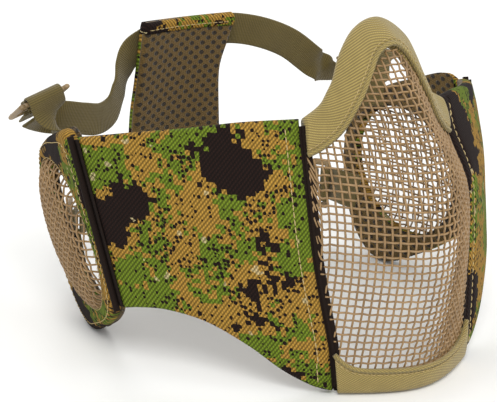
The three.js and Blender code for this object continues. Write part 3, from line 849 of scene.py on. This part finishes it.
def gap_shade_tapes():
    """Near-black tape in the seam and the crease: painted shade for the gaps, so that no light shows between
    the pieces.
    """
    for word, side in SIDES:
        solid = Solid()
        z = np.linspace(2, 112, 60)
        seam = np.stack([seam_x(z), seam_y(z), z], axis=1)
        ribbon(solid, mirrored(side, seam), mirrored(side, crease(z) - seam), SEAM_TAPE, TAPE_THICK)
        z = np.linspace(CREASE_LOW[2] + 1, CREASE_HIGH[2] - 1, 60)
        back = np.tile(mirrored(side, EAR_BACK), (60, 1))
        ribbon(solid, ear_point(side, 0.5, z, -0.8), back, CREASE_TAPE, TAPE_THICK)
        solid.build(f"gap_shade_tape_{word}", LOOKS["dark"], f"side_{word}", ())


# ---------- ear cups ----------
RIM = 120


def ear_rings():
    outline = smooth_path([[s, z, 0] for s, z in EAR_OUTLINE], RIM, closed=True)[:, :2]
    angle = np.arctan2((outline[:, 1] - WINDOW_Z) / WINDOW_RZ, (outline[:, 0] - WINDOW_S) / WINDOW_RS)
    tuck = 0.6  # the cloth reaches this far over the guard's rim
    hole = np.stack([WINDOW_S + (WINDOW_RS - tuck) * np.cos(angle),
                     WINDOW_Z + (WINDOW_RZ - tuck) * np.sin(angle)], 1)
    return outline, hole


def ring_solid(solid, side, outline, hole, low, high, roll_out, roll_in):
    """A closed flat ring whose two faces roll over at the outer rim and at the hole."""
    count = 15
    share = packed(count, 0.7)
    flat = outline[:, None] + (hole - outline)[:, None] * share[None, :, None]
    width = np.linalg.norm(hole - outline, axis=1)[:, None]
    to_rim, to_hole = share[None] * width, (1 - share[None]) * width
    drop_top = rolled(to_rim, roll_out) + rolled(to_hole, roll_in)
    puff = 0.5 * np.clip(np.minimum(to_rim, to_hole) / 6, 0, 1)
    top = high - drop_top + puff - 0.5
    under = low + rolled(to_rim, min(roll_out, 1.2)) + rolled(to_hole, min(roll_in, 1.2)) + 0 * top
    faces_top = ear_point(side, flat[..., 0], flat[..., 1], top)
    faces_low = ear_point(side, flat[..., 0], flat[..., 1], under)
    ring = np.concatenate([faces_top, faces_low[:, ::-1]], axis=1)
    m = 2 * count
    faces = [[i * m + j, i * m + (j + 1) % m, ((i + 1) % RIM) * m + (j + 1) % m, ((i + 1) % RIM) * m + j]
             for i in range(RIM) for j in range(m)]
    uv = np.concatenate([flat, flat[:, ::-1]], axis=1)
    solid.add(ring, faces, uv)
    return flat, top


def ear_cups():
    outline, hole = ear_rings()
    for word, side in SIDES:
        cover = Solid()
        flat, top = ring_solid(cover, side, outline, hole, LINING_TOP + GAP / 2, 3.0, 3.2, 1.2)
        obj = cover.build(f"ear_cloth_{word}", LOOKS["camo_ear"], f"ear_{word}",
                          [f"ear_cover_{word}", f"ear_foam_{word}"])
        lining = Solid()
        clear = np.maximum(outline, [LINING_FRONT, 0])
        ring_solid(lining, side, clear, hole, LINING_LOW, LINING_TOP + GAP / 2, 1.0, 1.0)
        obj = lining.build(f"ear_spacer_{word}", LOOKS["spacer"], f"ear_{word}",
                           [f"ear_lining_{word}"])
        rows = Solid()
        for k in (4, 11):
            line = ear_point(side, flat[:, k, 0], flat[:, k, 1], top[:, k] + 0.05)
            stitches(rows, np.vstack([line, line[:1]]), np.tile(mirrored(side, EAR_OUT), (RIM + 1, 1)))
        rows.build(f"ear_stitches_{word}", LOOKS["thread"], f"ear_{word}", ())
        ear_wires(word, side)


# ---------- nape pad ----------
def nape_pad():
    a, b = np.meshgrid(packed(49, 0.8), packed(81, 0.85), indexing="ij")
    low, high = PAD_EDGES[0][0], PAD_EDGES[-1][0]
    z = low + (high - low) * b
    x = pad_right(z) + (pad_left(z) - pad_right(z)) * a
    y = PAD_Y + PAD_BOW * 4 * a * (1 - a)
    face = np.stack([x, y, z], axis=-1)
    uv = arc_uv(face)
    distance = edge_distance(uv)
    middle = -PAD_DEEP * 0.45
    front = -0.2 + 0.9 * np.clip(distance / 8, 0, 1) ** 0.7 - rolled(distance, 1.6)
    solid = Solid()
    sheet_solid(solid, face, middle + 0 * front, front, uv)
    solid.build("pad_spacer", LOOKS["spacer"], "pad", ["pad_lining"])
    back = -PAD_DEEP + 0.3 - 0.7 * np.clip(distance / 8, 0, 1) ** 0.7 + rolled(distance, 2.2)
    solid = Solid()
    sheet_solid(solid, face, back, middle + 0 * back, uv)
    solid.build("pad_cloth", LOOKS["camo_pad"], "pad", ["pad_cover", "pad_foam"])
    hem_rows = b[0] > 1 - 5.5 / (high - low)
    hem = face[:, hem_rows]
    share = (hem[..., 2] - hem[:, :1, 2]) / (hem[0, -1, 2] - hem[0, 0, 2])
    lift = front[:, hem_rows] + 0.9 - 0.5 * (share < 0.05)
    solid = Solid()
    sheet_solid(solid, hem, back[:, hem_rows] - 0.15, lift, uv[:, hem_rows])
    solid.build("pad_hem", LOOKS["camo_pad"], "pad", ())
    rows = Solid()
    normal = grid_normals(face)
    at = np.flatnonzero(hem_rows)[0] + 2
    stitches(rows, (face[:, at] + normal[:, at] * (front[:, at] + 0.95)[:, None])[2:-2], normal[2:-2, at])
    rows.build("pad_stitches", LOOKS["thread"], "pad", ())


# ---------- tabs, buckles and straps ----------
STRAP_Y = PAD_Y + PAD_DEEP + GAP + STRAP_T / 2
STRAP_BEND = (25, 41)  # two distances from the middle, just outside the pad's edge
BUCKLE_TILT, BUCKLE_DIP, BUCKLE_TURN = (math.radians(angle) for angle in (17, 32, 38))
CORNERS = {
    "upper": {"tab": [[58, 75], [57, 88]], "pivot": [99, 69, 103],
              "bar": [math.cos(BUCKLE_TILT), 0, -math.sin(BUCKLE_TILT)],
              "run": [-math.sin(BUCKLE_TILT) * math.sin(BUCKLE_DIP), math.cos(BUCKLE_DIP),
                      -math.cos(BUCKLE_TILT) * math.sin(BUCKLE_DIP)]},
    "lower": {"tab": [[70, 30], [82.5, 30]], "pivot": [80, 80.5, 30],
              "bar": [0, 0, 1], "run": [-math.sin(BUCKLE_TURN), math.cos(BUCKLE_TURN), 0]},
}
ROUTES = {
    "upper_right": [
        [-85, 91, 85.8], [-76, 91, 85], [-65, 92, 82.5], [-54, 94, 80.5], [-45.5, 97, 83],
        [-39.5, 100.5, 91], [-35, 103.5, 101], [-30, STRAP_Y + 0.8, 108], [-20, STRAP_Y + 1.5, 113],
    ],
    "upper_left": [
        [84, 92, 90], [75, 92, 95.5], [61, 96, 106], [45, 100, 112.5], [31, STRAP_Y, 115],
        [22, STRAP_Y + 1, 115],
    ],
    "lower_right": [
        [-56.5, 97.5, 30.3], [-50, 100, 31.5], [-43, 102, 33], [-35, STRAP_Y + 0.3, 34.5],
        [-26, STRAP_Y + 1.5, 35],
    ],
    "lower_left": [
        [58, 96.5, 30.3], [51, 98.8, 31.2], [40, 101, 33], [28, STRAP_Y + 0.3, 34.5],
        [18, STRAP_Y + 1.5, 35],
    ],
}


def arc(middle, radius, start, end, steps):
    angle = np.radians(np.linspace(start, end, steps + 1))
    return np.stack([middle + radius * np.cos(angle), radius * np.sin(angle)], axis=1)


def blend_ways(ways, count):
    """Directions spread evenly between the given ones."""
    at = np.linspace(0, len(ways) - 1, count)
    return unit(np.stack([np.interp(at, range(len(ways)), np.array(ways)[:, k]) for k in range(3)], axis=1))


def buckle(name, body, in_plane, bar, rise):
    """A ladder-lock buckle: three rounded bars joined by two rails."""
    solid = Solid()
    length = 3 * BUCKLE_BAR + 2 * BUCKLE_SLOT
    half = BUCKLE_W / 2
    pitch = BUCKLE_BAR + BUCKLE_SLOT
    for k, wide in enumerate((1.0, 0.92, 1.12)):
        ends = np.linspace(-half + 1.2, half - 1.2, 9)
        line = in_plane(k * pitch, 0) + ends[:, None] * bar
        tube(solid, line, BUCKLE_BAR / 2 * wide, sides=12, flat=BUCKLE_T / BUCKLE_BAR,
             normal=np.tile(rise, (9, 1)))
    for way in (-1, 1):
        at = np.linspace(-BUCKLE_BAR / 2, length - BUCKLE_BAR / 2, 13)
        line = np.array([in_plane(r, 0) for r in at]) + way * (half - BUCKLE_RAIL / 2) * bar
        tube(solid, line, BUCKLE_RAIL / 2, sides=12, flat=BUCKLE_T / BUCKLE_RAIL,
             normal=np.tile(rise, (13, 1)))
    solid.build(name, LOOKS["plastic"], body, [name])


def plane_point(pivot, run, rise):
    """A function for points in a buckle's own plane, [run, rise] from its front bar."""
    return lambda r, h: pivot + run * r + rise * h


def fastenings():
    for word, side in SIDES:
        for level, corner in CORNERS.items():
            name = f"{level}_{word}"
            pivot = mirrored(side, corner["pivot"])
            run = unit(mirrored(side, corner["run"]))
            bar = unit(mirrored(side, corner["bar"]))
            rise = np.cross(bar, run)
            if (rise[2] if level == "upper" else side * rise[0]) < 0:
                rise = -rise
            in_plane = plane_point(pivot, run, rise)
            buckle(f"buckle_{name}", f"buckle_{name}", in_plane, bar, rise)
            tab(name, word, side, level, corner, pivot, run, bar, rise)
            strap(name, in_plane, bar)


def tab(name, word, side, level, corner, pivot, run, bar, rise):
    foot = [ear_point(side, s, z, TAB_INSIDE) for s, z in corner["tab"]]
    back = foot[1] - pivot
    aim = math.atan2(back @ rise, back @ run) + 2 * math.pi
    meets = math.degrees(aim + math.asin(TAB_LOOP / np.linalg.norm(back))) - 90
    loop = np.array([pivot + run * r + rise * h for r, h in arc(0, TAB_LOOP, meets, meets - TAB_SWEEP, 18)])
    lead = smooth_path([foot[0], foot[1], foot[1] + (loop[0] - foot[1]) * 0.5, loop[0]], 22)
    flat = mirrored(side, EAR_BACK if level == "upper" else unit(CREASE_HIGH - CREASE_LOW))
    turned = bar if flat @ bar > 0 else -bar
    share = np.clip((np.linspace(0, 1, 22) - 0.4) / 0.5, 0, 1)
    share = share * share * (3 - 2 * share)
    ways = np.vstack([flat + (turned - flat) * share[:, None], np.tile(turned, (len(loop) - 1, 1))])
    solid = Solid()
    ribbon(solid, np.vstack([lead, loop[1:]]), unit(ways), TAB_W, STRAP_T)
    solid.build(f"tab_webbing_{name}", LOOKS["webbing"], f"ear_{word}", [f"tab_{name}"])


def strap(name, in_plane, bar):
    middle = BUCKLE_BAR + BUCKLE_SLOT
    under = -BUCKLE_T / 2 - GAP - STRAP_T / 2 - 0.2
    flat = [[21.5, under - 0.4], [16, under], [12.5, under + 0.3], *arc(middle, STRAP_LOOP, 0, 180, 14),
            [middle - STRAP_LOOP, under], [middle - STRAP_LOOP + 0.1, under - 1.2]]
    end = smooth_path([in_plane(r, h) for r, h in flat], 60)
    solid = Solid()
    ribbon(solid, end, np.tile(bar, (60, 1)), STRAP_W, STRAP_T)
    solid.build(f"strap_loop_{name}", LOOKS["webbing"], f"buckle_{name}", [f"strap_end_{name}"])
    upright = np.array([0, 0, 1.0])
    start = bar if bar @ upright >= 0 else -bar
    tuck = in_plane(20.5, under - 0.9 - STRAP_T)
    path = smooth_path([tuck, *ROUTES[name]], 70)
    ways = blend_ways([start, start + upright * 0.8, upright, upright, upright, upright], 70)
    solid = Solid()
    ribbon(solid, path, ways, STRAP_W, STRAP_T)
    obj = solid.build(f"strap_webbing_{name}", LOOKS["webbing"], None, [f"strap_{name}"])
    # the end sewn behind the pad stays with it, and the webbing bends just outside its edge
    # points just outside the pad's edge, at the STRAP_BEND distances from the middle and at the strap's
    # height
    outward = 1 if name.endswith("left") else -1
    height = ROUTES[name][-1][2]
    start, end = ((outward * x * MM, (STRAP_Y + CENTRE_Y) * MM, height * MM) for x in STRAP_BEND)
    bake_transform(obj)


# ---------- camera, floor and light ----------
CAMERA_ANGLES = (-37, 19, 3)  # round the mask, above it, and roll, in degrees
CAMERA_DISTANCE = 770
CAMERA_LEFT = 26
CAMERA_DOWN = 11
CAMERA_LENS = 120.5


def camera():
    turn, lift, roll = (math.radians(angle) for angle in CAMERA_ANGLES)
    back = Vector((math.sin(turn) * math.cos(lift), -math.cos(turn) * math.cos(lift), math.sin(lift)))
    right = Vector((math.cos(turn), math.sin(turn), 0))
    up = back.cross(right)
    right, up = right * math.cos(roll) + up * math.sin(roll), up * math.cos(roll) - right * math.sin(roll)
    target = Vector((0, CENTRE_Y, 70))
    place = target + back * CAMERA_DISTANCE - right * CAMERA_LEFT - up * CAMERA_DOWN
    lens = bpy.data.cameras.new("camera")
    lens.sensor_width = 36
    lens.lens = CAMERA_LENS
    lens.clip_end = 20
    obj = bpy.data.objects.new("camera", lens)
    turned = Matrix((right, up, back)).transposed().to_4x4()
    turned.translation = place * MM
    obj.matrix_world = turned
    bpy.context.scene.collection.objects.link(obj)
    bpy.context.scene.camera = obj


def area_light(name, place, size, power, aim=(0, 0, 0.06)):
    light = bpy.data.lights.new(name, "AREA")
    light.size = size
    light.energy = power
    obj = bpy.data.objects.new(name, light)
    obj.location = place
    obj.rotation_euler = (Vector(place) - Vector(aim)).to_track_quat("Z", "Y").to_euler()
    bpy.context.scene.collection.objects.link(obj)


def studio():
    mesh = bpy.data.meshes.new("floor")
    half = 6.0
    corners = [(-half, -half, 0), (half, -half, 0), (half, half, 0), (-half, half, 0)]
    mesh.from_pydata(corners, [], [(0, 1, 2, 3)])
    floor = bpy.data.objects.new("floor", mesh)
    look = Look("floor_paint", roughness=0.7)
    mesh.materials.append(look.finish(srgb("f4f4f2")))
    bpy.context.scene.collection.objects.link(floor)
    floor.location.z = -0.0005
    world = bpy.data.worlds.new("studio")
    world.use_nodes = True
    world.node_tree.nodes["Background"].inputs[0].default_value = (1, 1, 1, 1)
    world.node_tree.nodes["Background"].inputs[1].default_value = 0.75
    bpy.context.scene.world = world
    area_light("key", (-0.7, -1.0, 1.3), 0.7, 15)
    area_light("fill", (1.1, -0.8, 0.7), 1.0, 5)
    area_light("rim", (0.2, 1.2, 1.1), 0.9, 7)
    bpy.context.scene.view_settings.view_transform = "Standard"


camera()
studio()
front_wires()
front_bindings()
seam_shade_welts()
side_panels()
crease_shade_rolls()
gap_shade_tapes()
ear_cups()
nape_pad()
fastenings()
